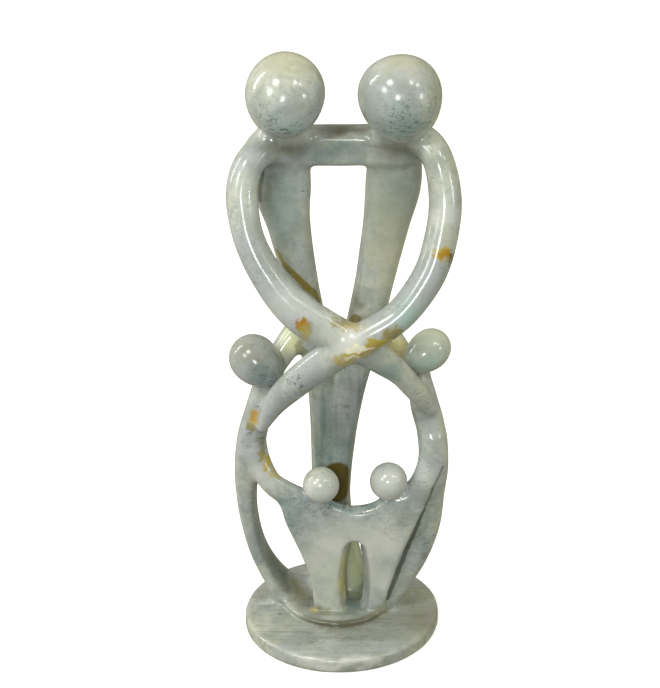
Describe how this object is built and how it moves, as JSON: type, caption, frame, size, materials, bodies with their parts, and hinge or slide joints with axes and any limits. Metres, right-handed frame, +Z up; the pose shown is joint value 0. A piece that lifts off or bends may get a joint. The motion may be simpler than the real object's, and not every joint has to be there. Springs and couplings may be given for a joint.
{
  "type": "soapstone family sculpture",
  "caption": "Carved and polished soapstone figure group: parents with crossed arms, older children and small children joined in a ring on a round foot disc",
  "frame": {"origin": "centre of the foot disc's underside, on the surface it stands on", "axes": "+Z up; the front, where the small children's slab is, faces -Y; +X is to the right seen from the front"},
  "size_m": [0.1487, 0.132, 0.4048],
  "materials": {
    "soapstone": "polished pale grey-green soapstone with dark flecks and ochre stains"
  },
  "bodies": {
    "root": {"soapstone_family": "soapstone"}
  },
  "joints": []
}
